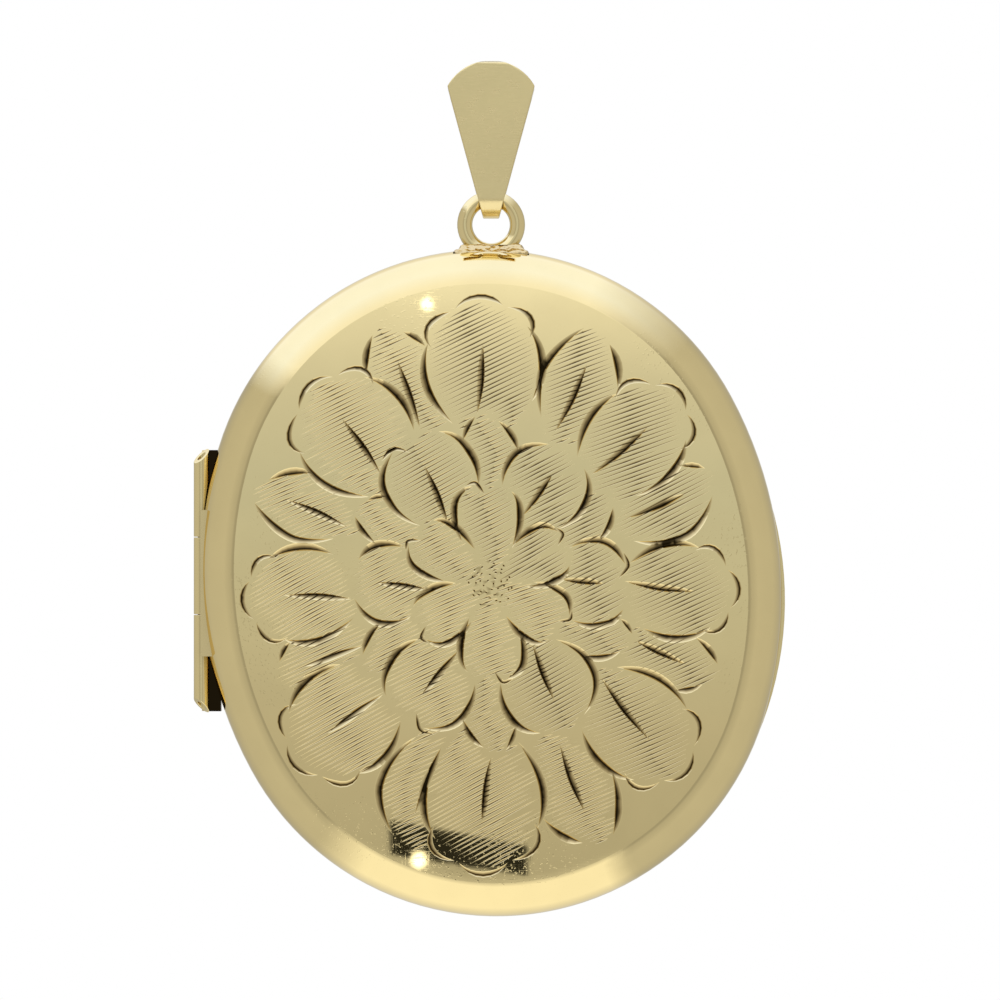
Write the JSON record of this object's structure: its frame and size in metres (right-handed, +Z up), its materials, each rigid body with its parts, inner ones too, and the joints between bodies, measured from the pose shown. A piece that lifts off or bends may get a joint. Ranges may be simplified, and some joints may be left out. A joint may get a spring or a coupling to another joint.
{
  "type": "locket",
  "caption": "Hinged oval photo locket with a hand-engraved flower front, snap collar, photo frames, soldered loop and fan bail.",
  "frame": {"origin": "middle of the chain passage through the bail's head", "axes": "+Z up the long axis of the hanging locket, -Y out of the engraved front, -X towards the hinge"},
  "size_m": [0.0332, 0.0058, 0.0479],
  "materials": {
    "polished_gold": "polished yellow gold with fine handling scratches",
    "engraved_gold": "polished yellow gold, hand engraved and hatched",
    "satin_gold": "yellow gold with a fine satin face and polished edges",
    "solder_gold": "uneven soldered gold, darker in its hollows",
    "hinge_gold": "filed yellow gold tube",
    "inner_gold": "plain gold, unpolished inside",
    "frame_gold": "polished yellow gold strip",
    "pin_gold": "drawn gold wire",
    "clear_sheet": "thin clear sheet, slightly yellowed",
    "blank_card": "plain matt card"
  },
  "bodies": {
    "bail": {"bail": "satin_gold"},
    "back_half": {"back_cover": "polished_gold", "back_snap_collar": "inner_gold", "thumb_lip": "polished_gold", "top_loop": "polished_gold", "loop_base": "solder_gold", "hinge_knuckle_top": "hinge_gold", "hinge_knuckle_bottom": "hinge_gold", "hinge_pin": "pin_gold", "back_hinge_bearer": "inner_gold", "back_photo_frame": "frame_gold", "back_window": "clear_sheet", "back_photo_card": "blank_card"},
    "front_half": {"front_cover": "engraved_gold", "front_inner_rim": "inner_gold", "hinge_knuckle_middle": "hinge_gold", "front_hinge_bearer": "inner_gold", "front_photo_frame": "frame_gold", "front_window": "clear_sheet", "front_photo_card": "blank_card"}
  },
  "joints": [
    {"name": "bail_swing", "type": "hinge", "parent": "bail", "child": "back_half", "pos_m": [0, 0, -0.0047], "axis": [1, 0, 0], "range_deg": [-88, 88]},
    {"name": "cover_hinge", "type": "hinge", "parent": "back_half", "child": "front_half", "pos_m": [-0.01628, 0, -0.02631], "axis": [0, 0, -1], "range_deg": [0, 170]}
  ]
}
